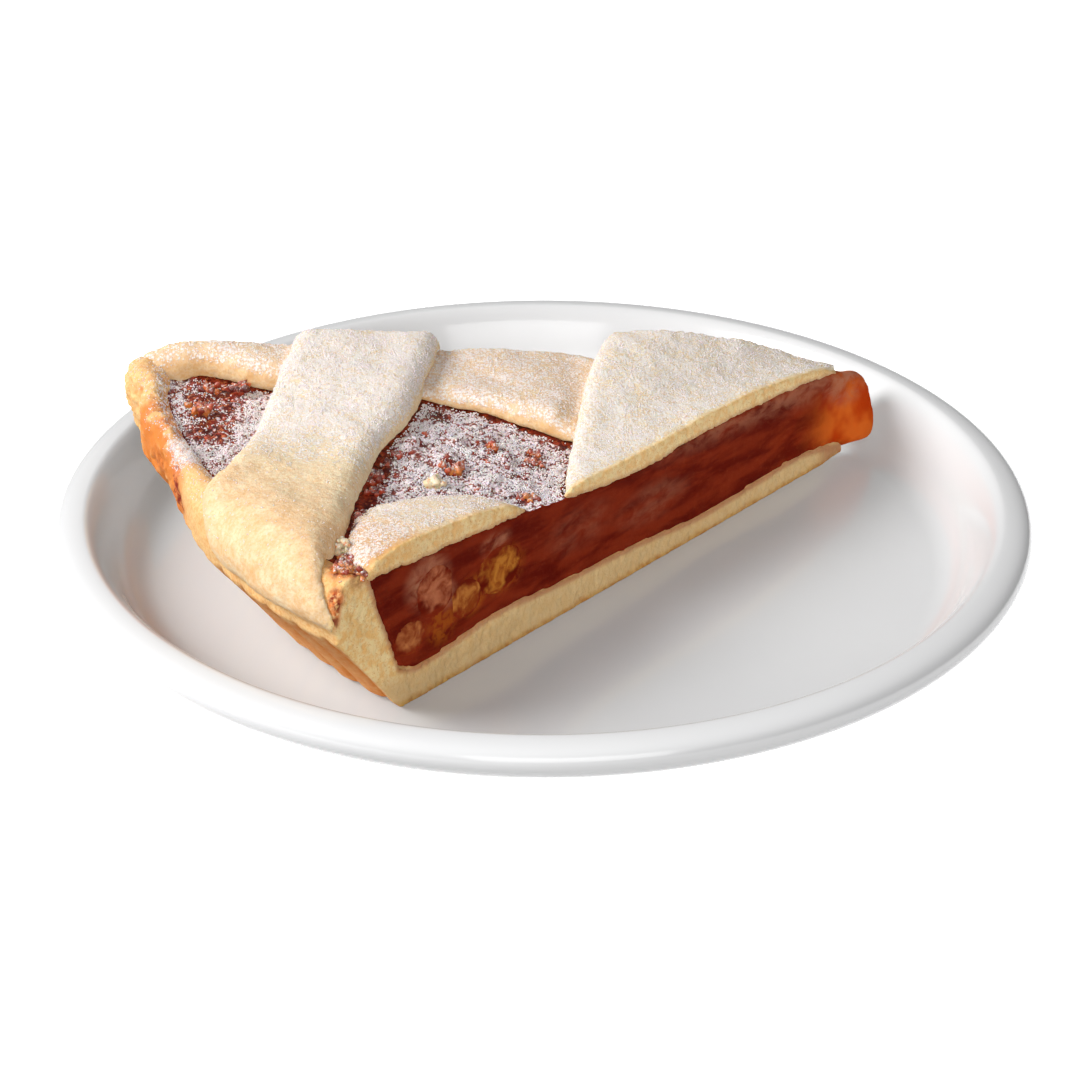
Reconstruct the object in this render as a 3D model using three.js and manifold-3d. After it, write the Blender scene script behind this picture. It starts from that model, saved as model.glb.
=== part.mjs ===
// One slice of an apple raspberry lattice pie, lying on its dessert plate.
//
// Millimetres, +Z up. The origin is the centre of the plate's foot on the table.
//
// The pie is drawn in its own frame: the tip of the slice is the origin, +X runs along the near cut
// face to the rim, and degrees are counted clockwise, seen from above, from that face to the far one.
// Every layer is made a little too large and then cut by the same wedge, as a knife cuts a pie.

import * as THREE from 'three';
import { mergeVertices } from 'three/addons/utils/BufferGeometryUtils.js';
import Module from 'manifold-3d';

const wasm = await Module();
wasm.setup();
const { clamp, degToRad, lerp, smoothstep } = THREE.MathUtils;

// ---------- Driving dimensions ----------

const GAP = 0.3; // clearance between two neighbouring solids

const PLATE_RADIUS = 95;
const PLATE_FLOOR = 5; // height of the flat floor over the table
const PLATE_FLOOR_RADIUS = 76.5;
const PLATE_RIM_TOP = 18.4;
const PLATE_CREST_RADIUS = 89.8;
const PLATE_UNDERSIDE = 1.5;
const FOOT_RADIUS = 56;
const FOOT_WIDTH = 4.5;
const PLATE_SIDES = 60;

const SLICE_ANGLE = 40; // a ninth of the pie
const TIP_X = 65.1; // where the tip of the slice lies on the plate
const TIP_Y = 41.3;
const SLICE_TURN = -131.5; // direction of the near cut face, from the tip to the rim

const BASE_RADIUS = 136.4; // where the side of the crust meets the plate
const WALL_FLARE = 0.76; // the side leans out by this much for each millimetre of height
const WALL_TOP = 19.5; // the fluted side that stood in the tin ends here
const LIP_RADIUS = 151.4; // the rim above it bulges out over the tin's edge
const LIP_HEIGHT = 23.5;
const RIM_TOP = 31.2;
const RIM_CREST_RADIUS = 147.6;
const FLUTE_PITCH = 3; // degrees
const FLUTE_DEPTH = 1;
const INNER_FOOT = new THREE.Vector2(136.6, 8); // inside of the side, bottom and top: radius, height
const INNER_TOP = new THREE.Vector2(143.4, 29);
const FLOOR_START = 2.4; // the bottom crust is crumbled off this far from the tip

const ROLL_START = 145.4; // past this radius a strip rolls over the rim and hangs down outside
const ROLL_RADIUS = 8.2;
const HANG = 4; // length that hangs straight down

const OVERCUT = 3; // degrees by which a layer overshoots the cut faces before it is cut

// ---------- Small tools ----------

// A smooth curve through a few [distance, value] pairs, level beyond its ends.
function through(pairs) {
  const slopes = pairs.map((pair, i) => {
    const before = pairs[Math.max(i - 1, 0)];
    const after = pairs[Math.min(i + 1, pairs.length - 1)];
    return (after[1] - before[1]) / (after[0] - before[0]);
  });
  return (distance) => {
    const x = clamp(distance, pairs[0][0], pairs[pairs.length - 1][0]);
    let i = 0;
    while (i < pairs.length - 2 && x > pairs[i + 1][0]) i += 1;
    const span = pairs[i + 1][0] - pairs[i][0];
    const t = (x - pairs[i][0]) / span;
    const bendIn = t * (1 - t) * (1 - t) * span * slopes[i];
    const bendOut = t * t * (t - 1) * span * slopes[i + 1];
    return lerp(pairs[i][1], pairs[i + 1][1], t * t * (3 - 2 * t)) + bendIn + bendOut;
  };
}

// Repeatable smooth unevenness between -1 and 1, with bumps of about one unit.
function unevenness(x, y, z = 0) {
  const cell = [Math.floor(x), Math.floor(y), Math.floor(z)];
  const fade = [x, y, z].map((value, i) => smoothstep(value - cell[i], 0, 1));
  let sum = 0;
  for (let corner = 0; corner < 8; corner += 1) {
    const step = [corner & 1, (corner >> 1) & 1, corner >> 2];
    const [i, j, k] = cell.map((whole, axis) => whole + step[axis]);
    const wave = Math.sin(i * 127.1 + j * 311.7 + k * 74.7) * 43758.5453;
    const value = wave - Math.floor(wave);
    const weight = step.reduce((product, far, i) => product * (far ? fade[i] : 1 - fade[i]), 1);
    sum += weight * (value * 2 - 1);
  }
  return sum;
}

// Moves every vertex of a closed geometry and gives the result as a solid that faces outwards.
function solidFrom(geometry, move) {
  const shape = geometry.clone();
  shape.deleteAttribute('normal');
  shape.deleteAttribute('uv');
  const merged = mergeVertices(shape);
  const place = merged.getAttribute('position');
  const point = new THREE.Vector3();
  for (let i = 0; i < place.count; i += 1) {
    point.fromBufferAttribute(place, i);
    const moved = move ? move(point.x, point.y, point.z) : point;
    place.setXYZ(i, moved.x, moved.y, moved.z);
  }
  const corners = Uint32Array.from(merged.getIndex().array);
  const [a, b, c] = [0, 1, 2].map(() => new THREE.Vector3());
  let volume = 0;
  for (let i = 0; i < corners.length; i += 3) {
    a.fromBufferAttribute(place, corners[i]);
    b.fromBufferAttribute(place, corners[i + 1]);
    c.fromBufferAttribute(place, corners[i + 2]);
    volume += a.dot(b.cross(c));
  }
  if (volume < 0) {
    for (let i = 0; i < corners.length; i += 3) {
      [corners[i + 1], corners[i + 2]] = [corners[i + 2], corners[i + 1]];
    }
  }
  return new wasm.Manifold(
    new wasm.Mesh({ numProp: 3, vertProperties: Float32Array.from(place.array), triVerts: corners }),
  );
}

// The largest body of a cut solid, so that no loose scrap is kept.
function largestBody(solid) {
  return solid.decompose().reduce((best, body) => (body.volume() > best.volume() ? body : best));
}

// A closed outline pushed outwards by a distance.
function grown(outline, distance) {
  const side = Math.sign(THREE.ShapeUtils.area(outline));
  return outline.map((point, i) => {
    const before = outline[(i + outline.length - 1) % outline.length];
    const after = outline[(i + 1) % outline.length];
    const along = after.clone().sub(before).normalize();
    return new THREE.Vector2(point.x + side * along.y * distance, point.y - side * along.x * distance);
  });
}

// A flat-bottomed layer over a rectangle, with an uneven top.
function layer(left, right, front, back, bottom, top, cell) {
  const columns = Math.round((right - left) / cell);
  const rows = Math.round((back - front) / cell);
  return solidFrom(new THREE.BoxGeometry(1, 1, 1, columns, rows, 1), (u, v, w) => {
    const x = lerp(left, right, u + 0.5);
    const y = lerp(front, back, v + 0.5);
    return new THREE.Vector3(x, y, w > 0 ? top(x, y) : bottom);
  });
}

function turned(profile, sides) {
  return solidFrom(new THREE.LatheGeometry(profile, sides), (x, y, z) => new THREE.Vector3(x, -z, y));
}

function drum(radius, bottom, top) {
  const corners = [[0, bottom], [radius, bottom], [radius, top], [0, top]];
  return turned(corners.map(([r, h]) => new THREE.Vector2(r, h)), 160);
}

function piePoint(radius, degrees, height) {
  const turn = degToRad(degrees);
  return new THREE.Vector3(radius * Math.cos(turn), -radius * Math.sin(turn), height);
}

function pieDegrees(x, y) {
  return THREE.MathUtils.radToDeg(Math.atan2(-y, x));
}

// ---------- Plate ----------

// Inside of the plate from its crest down to the middle of its floor.
function plateWall() {
  const wall = new THREE.Path();
  wall.moveTo(PLATE_CREST_RADIUS, PLATE_RIM_TOP);
  wall.quadraticCurveTo(87.4, PLATE_RIM_TOP, 83.8, 10);
  wall.quadraticCurveTo(81.6, PLATE_FLOOR, PLATE_FLOOR_RADIUS, PLATE_FLOOR);
  wall.lineTo(0, PLATE_FLOOR);
  return wall.getPoints(4);
}

function plateSolid() {
  const profile = new THREE.Path();
  profile.moveTo(PLATE_CREST_RADIUS, PLATE_RIM_TOP);
  profile.quadraticCurveTo(PLATE_RADIUS, PLATE_RIM_TOP, PLATE_RADIUS, 15.6);
  profile.quadraticCurveTo(PLATE_RADIUS, 12.9, 91.4, 11.4);
  profile.quadraticCurveTo(88, 9.8, 85.4, 7.4);
  profile.quadraticCurveTo(79.6, 2, 72, PLATE_UNDERSIDE);
  profile.lineTo(FOOT_RADIUS + 1, PLATE_UNDERSIDE);
  profile.lineTo(FOOT_RADIUS, 0);
  profile.lineTo(FOOT_RADIUS - FOOT_WIDTH, 0);
  profile.lineTo(FOOT_RADIUS - FOOT_WIDTH - 1, PLATE_UNDERSIDE);
  profile.lineTo(0, PLATE_UNDERSIDE);
  const outside = profile.getPoints(3);
  return turned(outside.reverse().concat(plateWall().slice(1)), PLATE_SIDES);
}

// The plate with its clearance, seen from the slice, to shape what leans on its wall.
function plateInSliceFrame() {
  const turn = degToRad(-SLICE_TURN);
  const wall = plateWall().map((point) => new THREE.Vector2(Math.max(point.x - GAP, 0), point.y));
  const underside = [[0, -4], [PLATE_RADIUS + 1, -4], [PLATE_RADIUS + 1, 14]];
  const profile = underside.map(([radius, height]) => new THREE.Vector2(radius, height)).concat(wall);
  return solidFrom(new THREE.LatheGeometry(profile, 2 * PLATE_SIDES), (u, height, v) => {
    const x = u - TIP_X;
    const y = v - TIP_Y;
    return new THREE.Vector3(
      x * Math.cos(turn) - y * Math.sin(turn),
      x * Math.sin(turn) + y * Math.cos(turn),
      height - PLATE_FLOOR,
    );
  });
}

// ---------- Crust ----------

// The wedge that the knife leaves, from the tip outwards.
function wedge() {
  const reach = 400;
  const far = piePoint(reach, SLICE_ANGLE, 0);
  const corners = [[0, 0], [far.x, far.y], [reach, 0]].map(([x, y]) => new THREE.Vector2(x, y));
  const block = new THREE.ExtrudeGeometry(new THREE.Shape(corners), { depth: 60, bevelEnabled: false });
  return solidFrom(block, (x, y, z) => new THREE.Vector3(x, y, z - 5));
}

// Thickness of the bottom crust, which rose unevenly under the filling.
const floorThickness = through([
  [0, 2], [5, 3.4], [18, 5.4], [32, 5], [51, 4.5], [70, 6.2], [96, 7.4], [110, 8.7], [129, 6.7],
]);

function floorTop(x, y) {
  return floorThickness(Math.hypot(x, y)) + 0.5 * unevenness(x / 9, y / 9, 3.5) * smoothstep(-y, 0, 6);
}

function crustFloor(grow) {
  const slab = layer(FLOOR_START - grow, 134, -96, 6, -grow, (x, y) => floorTop(x, y) + grow, 7);
  return slab.intersect(drum(BASE_RADIUS - 3, -1, 14));
}

// How far the lip of the crust drew back from the tin, by degrees from the near cut face.
// The side below it and the crest above it drew back less.
const crustShrink = through([
  [-3, 0], [8, 0.1], [16, 0.9], [22, 2.8], [27.5, 4.5], [30.5, 3.1], [33.8, 2.8],
  [35, 3.8], [36, 3.5], [37.4, 2], [38.6, 0.3], [40, 0.9], [43, 5],
]);
const CORNER_UNDERCUT = 1.6; // how far the foot of the lip goes in at the far corner

// Side and rim as one section, radius against height, swept round the pie.
function crustRing(grow) {
  const wallRadius = (height) => BASE_RADIUS + WALL_FLARE * height;
  const section = [
    [124, 0],
    [BASE_RADIUS, 0],
    [wallRadius(1.2) + 0.4, 1.2],
    [wallRadius(7), 7],
    [wallRadius(13), 13],
    [wallRadius(WALL_TOP), WALL_TOP],
    [LIP_RADIUS - 0.5, WALL_TOP + 1],
    [LIP_RADIUS, LIP_HEIGHT],
    [LIP_RADIUS - 0.2, 27.5],
    [LIP_RADIUS - 1.7, 29.9],
    [RIM_CREST_RADIUS + 1.4, RIM_TOP - 0.2],
    [RIM_CREST_RADIUS - 0.6, RIM_TOP],
    [INNER_TOP.x + 1.2, RIM_TOP - 0.8],
    [INNER_TOP.x, INNER_TOP.y],
    [lerp(INNER_FOOT.x, INNER_TOP.x, 0.5), lerp(INNER_FOOT.y, INNER_TOP.y, 0.5)],
    [INNER_FOOT.x, INNER_FOOT.y],
    [130, 5],
    [124, 2.5],
  ].map(([radius, height]) => new THREE.Vector2(radius, height));
  const steps = Math.round((SLICE_ANGLE + 2 * OVERCUT) / FLUTE_PITCH) * 4;
  const sweep = new THREE.ExtrudeGeometry(new THREE.Shape(grown(section, grow)), {
    depth: 1,
    steps,
    bevelEnabled: false,
  });
  const end = -OVERCUT + (steps / 4) * FLUTE_PITCH;
  return solidFrom(sweep, (radius, height, t) => {
    const degrees = lerp(-OVERCUT, end, t);
    const onWall = smoothstep(radius - wallRadius(height), -4, 0) * (1 - smoothstep(height, 17, 21));
    const lobe = Math.abs(Math.cos((Math.PI * degrees) / FLUTE_PITCH));
    const swell = smoothstep(height, 21, 29) * 0.5 * unevenness(degrees / 5, height / 6);
    const outside = smoothstep(radius, INNER_TOP.x, RIM_CREST_RADIUS);
    const bulge = outside * (1 - onWall) * 0.5 * unevenness(degrees / 4, height / 5, 7);
    const shrinkShare = Math.max(outside * lerp(1, 0.5, smoothstep(height, 25, 31)), 0.6 * onWall);
    const lipFoot = smoothstep(height, 14, 20) * (1 - smoothstep(height, 20, 26));
    const undercut = CORNER_UNDERCUT * outside * lipFoot * smoothstep(degrees, 37, 38.5);
    const shrunk = radius - crustShrink(degrees) * shrinkShare - undercut;
    return piePoint(shrunk - FLUTE_DEPTH * onWall * (1 - lobe) + bulge, degrees, height + swell);
  });
}

function crustSolid(knife) {
  return largestBody(crustFloor(0).add(crustRing(0)).intersect(knife));
}

// ---------- Filling ----------

// Height of the filling from the tip to the rim: it sank under the strips and stands higher at the rim.
const fillingHeight = through([
  [0, 18.8], [10, 20.6], [20, 21.7], [36, 22.4], [52, 22.7], [68, 22], [82, 22.8],
  [94, 24.9], [103, 26.2], [123, 27.3], [136, 28.2], [144, 29],
]);

function fillingTop(x, y) {
  const radius = Math.hypot(x, y);
  const middle = smoothstep(radius, 40, 80) * (1 - smoothstep(radius, 95, 120));
  const riseToFarSide = 1.8 * smoothstep(-y, 8, 34) * middle;
  const lumpy = smoothstep(radius, 50, 70) * smoothstep(-y, 0, 5);
  const relief = 0.55 * unevenness(x / 5.5, y / 5.5, 1) + 0.4 * unevenness(x / 3, y / 3, 5);
  return fillingHeight(radius) + riseToFarSide + relief * lumpy;
}

// Crumbs and bits of fruit as [distance from the tip, degrees, radius] on the bare filling.
const BITS = [
  [101, 14, 2.2], [95, 17.5, 1.7], [106, 11.5, 2], [99, 8, 1.7], [90, 12, 1.7],
  [104, 18.5, 1.7], [131, 30, 1.9], [137, 33.5, 1.7], [136, 27, 1.8],
];

function bit([distance, degrees, size], grow) {
  const centre = piePoint(distance, degrees, 0);
  const height = fillingTop(centre.x, centre.y);
  return solidFrom(new THREE.IcosahedronGeometry(1, 1), (x, y, z) => {
    const reach = size * (1 + 0.25 * unevenness(x * 2 + distance, y * 2, z * 2)) + grow;
    return new THREE.Vector3(centre.x + x * reach, centre.y + y * reach, height + z * reach * 0.75);
  });
}

// The jelly at the tip slid a little out of the slice and stands over the plate as a blunt nose.
const NOSE_CENTRE = new THREE.Vector2(1.5, -0.6);
const NOSE_LENGTH = 7.5; // from its middle
const NOSE_WIDTH = 4.8;
const NOSE_BOTTOM = 2.4;
const NOSE_TOP = 18.8;
// Its reach as a share, and how far it sags out of the near cut face, from its foot (-1) to its top (1).
const noseReach = through([[-1, 0.87], [-0.7, 0.98], [0, 1], [0.4, 0.93], [0.8, 0.64], [1, 0.25]]);
const noseSag = through([[-1, 3.7], [-0.6, 3.6], [0, 1.7], [0.6, 0.6], [1, 0.2]]);

function nose(grow) {
  return solidFrom(new THREE.SphereGeometry(1, 18, 10), (x, up, y) => {
    const boxy = Math.pow(x ** 4 + y ** 4, 0.25);
    const reach = boxy > 0.01 ? noseReach(up) / boxy : 0;
    const along = NOSE_CENTRE.x + x * reach * (NOSE_LENGTH + grow);
    const across = NOSE_CENTRE.y + y * reach * (NOSE_WIDTH + grow);
    const nearSide = 0.2 + noseSag(up) * smoothstep(-along, -8, 4) + grow;
    const height = lerp(NOSE_BOTTOM - grow, NOSE_TOP + grow, (up + 1) / 2);
    return new THREE.Vector3(along, Math.min(across, nearSide), height);
  });
}

// All of the filling before the knife, with room of `grow` round it.
function fillingMould(grow) {
  const reach = grow - GAP;
  const cavity = turned([
    [0, -1],
    [127, -1],
    [130, 5.8],
    [INNER_FOOT.x + reach, INNER_FOOT.y + 0.6],
    [INNER_TOP.x + reach, INNER_TOP.y],
    [INNER_TOP.x + reach, 40],
    [0, 40],
  ].map(([radius, height]) => new THREE.Vector2(radius, height)), 120);
  const slab = layer(-3, 147, -98, 5, 1, (x, y) => fillingTop(x, y) + grow, 4.8);
  return BITS.reduce((heap, place) => heap.add(bit(place, grow)), slab.intersect(cavity));
}

// Apple pieces that the knife went through: distance from the tip, height, and their half sizes.
const APPLE_PIECES = [
  { name: 'apple_piece_1', at: [110.6, 17.5], size: [5.6, 4.2, 5] },
  { name: 'apple_piece_2', at: [119.3, 15.1], size: [3.5, 3.3, 4] },
  { name: 'apple_piece_3', at: [127.2, 20], size: [4.1, 4.6, 5] },
  { name: 'apple_piece_4', at: [133.8, 13.4], size: [3.2, 2.8, 4] },
];

function appleSolid({ at, size }, grow) {
  return solidFrom(new THREE.IcosahedronGeometry(1, 1), (x, y, z) => {
    const reach = 1 + 0.12 * unevenness(x * 1.7 + at[0], y * 1.7, z * 1.7 + at[1]);
    return new THREE.Vector3(
      at[0] + x * (size[0] * reach + grow),
      -1 + y * (size[2] * reach + grow),
      at[1] + z * (size[1] * reach + grow),
    );
  });
}

function fillingSolid(knife) {
  const body = fillingMould(0).intersect(knife).add(nose(0));
  const carved = body.subtract(crustFloor(GAP)).subtract(plateInSliceFrame());
  return largestBody(APPLE_PIECES.reduce((rest, piece) => rest.subtract(appleSolid(piece, GAP)), carved));
}

// ---------- Lattice strips ----------

// A strip runs at a heading, anticlockwise from +X. Its two edges are offsets to the right of a line
// through the tip, and `top` is the height of its upper face over the plate's floor.
const stripRim = {
  heading: 33.6,
  inner: through([[20, 83.2], [58, 84], [68, 86.6], [77, 87.3], [97, 87.1], [108, 86.2], [134, 88]]),
  outer: through([[20, 112], [70, 111.5], [88, 112.2], [96, 114.2], [104, 116.2], [118, 117.2]]),
  start: 14,
  end: (offset) => Math.sqrt((ROLL_START + ROLL_RADIUS * (Math.PI / 2) + HANG) ** 2 - offset ** 2),
  thickness: 5.4,
  width: 29.5,
  columns: 7,
  steps: 30,
  overPie: through([[24, 35.2], [44, 35], [60, 33.4], [76, 32.6], [92, 33], [110, 34.2]]),
  top(x, y, along, offset) {
    const tilt = 0.08 * (offset - 100) * (1 - smoothstep(along, 40, 70));
    return lerp(this.overPie(along) + tilt, RIM_TOP + 3.4, smoothstep(Math.hypot(x, y), 126, ROLL_START));
  },
};

const stripBack = {
  heading: 113,
  inner: through([[-130, 20], [-34, 26]]),
  outer: through([
    [-140, 77], [-132, 71.6], [-126, 67], [-118, 65.2], [-105, 65],
    [-90, 62], [-75, 59.2], [-60, 57.6], [-45, 59.6], [-34, 61],
  ]),
  start: -132,
  end: () => -33,
  thickness: 5.6,
  width: 40,
  columns: 7,
  steps: 21,
  uncovered: through([
    [30, 25.6], [58, 26.8], [66, 28], [76, 29.1], [90, 29.3], [104, 30.4],
    [118, 33], [128, 34.3], [136, 35], [141, 34.2], [144.5, 32.9], [147.5, 31.8],
  ]),
  // The strip at the tip presses this one down where it lies over it.
  top(x, y) {
    const turn = degToRad(stripTip.heading);
    const level = this.uncovered(Math.hypot(x, y));
    const covered = Math.min(level, stripTip.top(x, y) - stripTip.thickness);
    return lerp(covered, level, smoothstep(x * Math.sin(turn) - y * Math.cos(turn), 50, 58));
  },
};

const stripTip = {
  heading: 33.6,
  inner: through([[-10, 2.4], [80, 2.4]]),
  outer: through([[-10, 50], [10, 50.5], [28, 52.4], [60, 52.6], [82, 51.6]]),
  start: -8,
  end: () => 84,
  thickness: 4.6,
  width: 49.5,
  columns: 12,
  steps: 22,
  alongCut: through([
    [0, 19.8], [6, 21.4], [19, 24.1], [36, 25.9], [52, 26.5], [68, 26], [82, 25.8], [94, 26.4],
  ]),
  top(x, y) {
    return this.alongCut(Math.hypot(x, y)) + 5 * smoothstep(-y, 2, 28);
  },
};

// A strip's outline across: soft upper edges and a straight underside sunk into what lies below.
function stripSection({ width, thickness, columns }, grow) {
  const sink = 2.4;
  const edge = 0.75 * thickness;
  const drop = 0.62 * thickness;
  const bottom = -thickness - sink;
  const points = [new THREE.Vector2(0.5, bottom), new THREE.Vector2(width - 0.5, bottom)];
  const rounding = [0, 1, 2, 3].map((i) => (Math.PI / 6) * i);
  for (const turn of rounding) {
    points.push(new THREE.Vector2(width - edge + edge * Math.cos(turn), -drop + drop * Math.sin(turn)));
  }
  for (let i = 1; i < columns; i += 1) {
    points.push(new THREE.Vector2(lerp(width - edge, edge, i / columns), 0));
  }
  for (const turn of rounding.reverse()) {
    points.push(new THREE.Vector2(edge - edge * Math.cos(turn), -drop + drop * Math.sin(turn)));
  }
  return grown(points, grow);
}

// Bends a flat strip onto the pie. Past the rim it rolls over the edge and hangs down the outside.
function stripSolid(strip, grow) {
  const section = new THREE.Shape(stripSection(strip, grow));
  const flat = new THREE.ExtrudeGeometry(section, { depth: 1, steps: strip.steps, bevelEnabled: false });
  const cos = Math.cos(degToRad(strip.heading));
  const sin = Math.sin(degToRad(strip.heading));
  const rollAngle = Math.PI / 2;
  const hold = (offset) => Math.sqrt(Math.max((ROLL_START - 3) ** 2 - offset ** 2, 0));
  const flatShare = 0.55; // of the steps; the others bend over the rim
  const alongAt = (t, offset) => {
    const end = strip.end(offset) + grow;
    const rim = hold(offset);
    if (rim >= end) return lerp(strip.start, end, t);
    if (t < flatShare) return lerp(strip.start, rim, t / flatShare);
    return lerp(rim, end, (t - flatShare) / (1 - flatShare));
  };
  return solidFrom(flat, (across, up, t) => {
    const share = across / strip.width;
    const rough = alongAt(t, lerp(strip.inner(0), strip.outer(0), share));
    const offset = lerp(strip.inner(rough), strip.outer(rough), share);
    const along = alongAt(t, offset);
    const x = along * cos + offset * sin;
    const y = along * sin - offset * cos;
    const radius = Math.hypot(x, y);
    const degrees = pieDegrees(x, y);
    const excess = radius - ROLL_START;
    const sag = 0.35 * unevenness(x / 7, y / 7, 9);
    const top = strip.top(x, y, along, offset);
    if (excess <= 0) return new THREE.Vector3(x, y, top + up + sag);
    const roll = Math.min(excess / ROLL_RADIUS, rollAngle);
    const hang = Math.max(excess - ROLL_RADIUS * rollAngle, 0);
    const thin = 1.9 * (1 - Math.sqrt(1 - clamp((hang - 1) / (HANG - 0.9), 0, 1) ** 2));
    const out = ROLL_RADIUS + up + sag - thin;
    const level = top - ROLL_RADIUS;
    return piePoint(ROLL_START + out * Math.sin(roll), degrees, level + out * Math.cos(roll) - hang);
  });
}

// The short end of a strip at the near cut face: a flattened half oval, thickest beside the rim.
const END_CENTRE = 121.4;
const END_LENGTH = 22;
const END_DEPTH = 21;
const END_THICKNESS = 5;
const endTop = through([[99, 27.6], [103.4, 28.2], [110, 30], [123, 31.8], [134, 32.8], [141, 33]]);

function stripEnd(grow) {
  const section = [
    [0, 0], [0.35, 0], [0.65, -0.04], [0.84, -0.2], [0.95, -0.5], [1, -0.85], [0.98, -1.7], [0, -1.7],
  ].map(([reach, up]) => new THREE.Vector2(reach, up));
  return solidFrom(new THREE.LatheGeometry(section, 26), (u, up, v) => {
    const reach = Math.hypot(u, v);
    const swell = 1 + (grow * Math.sign(reach)) / END_DEPTH;
    const wobble = 1 + 0.05 * unevenness(u * 2 + 4, v * 2 + 4);
    const x = END_CENTRE + u * END_LENGTH * swell * wobble + 0.12 * Math.abs(v) * END_DEPTH;
    const y = -v * END_DEPTH * swell * wobble;
    const slope = 1.6 * smoothstep(-y, 4, 22);
    const lift = up > -1 ? grow : -grow;
    return new THREE.Vector3(x, y, endTop(x) - slope + up * END_THICKNESS + lift);
  });
}

// ---------- The slice ----------

function strips() {
  const below = fillingMould(GAP).add(nose(GAP)).add(crustRing(GAP));
  const back = stripSolid(stripBack, 0).subtract(below);
  const overBack = below.add(stripSolid(stripBack, GAP));
  const tip = stripSolid(stripTip, 0).subtract(overBack);
  const rim = stripSolid(stripRim, 0).subtract(overBack);
  const end = stripEnd(0).subtract(below).subtract(stripSolid(stripRim, 3 * GAP));
  return { back, tip, rim, end };
}

function dough(color) {
  return new THREE.MeshStandardMaterial({ color, roughness: 0.85, metalness: 0 });
}

function node(name, solid, material) {
  const { vertProperties, triVerts } = solid.getMesh();
  const geometry = new THREE.BufferGeometry();
  geometry.setAttribute('position', new THREE.BufferAttribute(Float32Array.from(vertProperties), 3));
  geometry.setIndex(new THREE.BufferAttribute(Uint32Array.from(triVerts), 1));
  geometry.computeVertexNormals();
  const mesh = new THREE.Mesh(geometry, material);
  mesh.name = name;
  return mesh;
}

function sliceGroup() {
  const knife = wedge();
  const lattice = strips();
  const baked = dough(0xe6c48a);
  const jelly = new THREE.MeshStandardMaterial({ color: 0x7a1a12, roughness: 0.3, metalness: 0 });
  const apple = new THREE.MeshStandardMaterial({ color: 0xc98a3c, roughness: 0.35, metalness: 0 });
  const slice = new THREE.Group();
  slice.add(node('crust', crustSolid(knife), dough(0xd9a862)));
  slice.add(node('filling', fillingSolid(knife), jelly));
  slice.add(node('lattice_strip_rim', largestBody(lattice.rim.intersect(knife)), baked));
  slice.add(node('lattice_strip_back', largestBody(lattice.back.intersect(knife)), baked));
  slice.add(node('lattice_strip_tip', largestBody(lattice.tip.intersect(knife)), baked));
  slice.add(node('lattice_strip_end', largestBody(lattice.end.intersect(knife)), baked));
  for (const piece of APPLE_PIECES) {
    slice.add(node(piece.name, appleSolid(piece, 0).intersect(knife), apple));
  }
  slice.position.set(TIP_X, TIP_Y, PLATE_FLOOR + GAP);
  slice.rotation.z = degToRad(SLICE_TURN);
  return slice;
}

const porcelain = new THREE.MeshStandardMaterial({ color: 0xf4f4f2, roughness: 0.15, metalness: 0 });
const pie = new THREE.Group();
pie.add(node('plate', plateSolid(), porcelain));
pie.add(sliceGroup());

export default pie;
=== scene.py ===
"""A slice of apple raspberry lattice pie on a white dessert plate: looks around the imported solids.

Metres, +Z up, the plate's foot on the floor at z = 0. Helper functions that shape the pie work in
millimetres in the slice's own frame: u runs from the tip along the near cut face to the rim,
v is the depth into the slice, and h is the height over the plate's floor.
"""

import math

import bmesh
import bpy
import numpy as np
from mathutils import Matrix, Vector, noise
from mathutils.bvhtree import BVHTree


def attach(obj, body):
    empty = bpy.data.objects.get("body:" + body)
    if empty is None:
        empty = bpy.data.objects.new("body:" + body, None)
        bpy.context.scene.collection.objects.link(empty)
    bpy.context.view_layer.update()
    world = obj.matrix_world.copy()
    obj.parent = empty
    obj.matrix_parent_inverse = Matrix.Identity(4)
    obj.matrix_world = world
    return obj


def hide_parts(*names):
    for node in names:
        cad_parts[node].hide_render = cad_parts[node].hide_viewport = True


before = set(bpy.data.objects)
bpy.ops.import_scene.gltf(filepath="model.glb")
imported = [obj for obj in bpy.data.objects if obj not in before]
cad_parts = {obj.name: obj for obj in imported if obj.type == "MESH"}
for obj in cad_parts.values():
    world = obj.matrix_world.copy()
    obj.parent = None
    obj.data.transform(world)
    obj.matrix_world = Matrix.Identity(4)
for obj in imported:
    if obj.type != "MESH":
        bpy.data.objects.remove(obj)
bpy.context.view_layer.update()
scene = bpy.context.scene
draw = np.random.default_rng(7)

MM = 0.001
TIP = np.array([65.1, 41.3])          # the slice's tip on the plate, mm
SLICE_TURN = math.radians(-131.5)     # direction of the near cut face
SLICE_ANGLE = math.radians(40)
FLOOR = 5.3                           # height of the slice's underside, mm

# Slots of the pieces whose colour the other surfaces don't pick up, so that the plate beside the slice
# stays a neutral grey, as in the photograph.
NO_BOUNCE = ("crust", "filling", "apple")


# ---------- Geometry tools ----------

def to_slice(points):
    """World points in metres as slice coordinates u, v, h in millimetres."""
    p = points / MM
    x, y = p[:, 0] - TIP[0], p[:, 1] - TIP[1]
    cos, sin = math.cos(SLICE_TURN), math.sin(SLICE_TURN)
    return np.stack([x * cos + y * sin, x * sin - y * cos, p[:, 2] - FLOOR], axis=1)


def to_world(u, v, h):
    """The other way round: slice coordinates in millimetres to a world point in metres."""
    cos, sin = math.cos(SLICE_TURN), math.sin(SLICE_TURN)
    x, y = TIP[0] + u * cos + v * sin, TIP[1] + u * sin - v * cos
    return Vector((x * MM, y * MM, (h + FLOOR) * MM))


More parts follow.
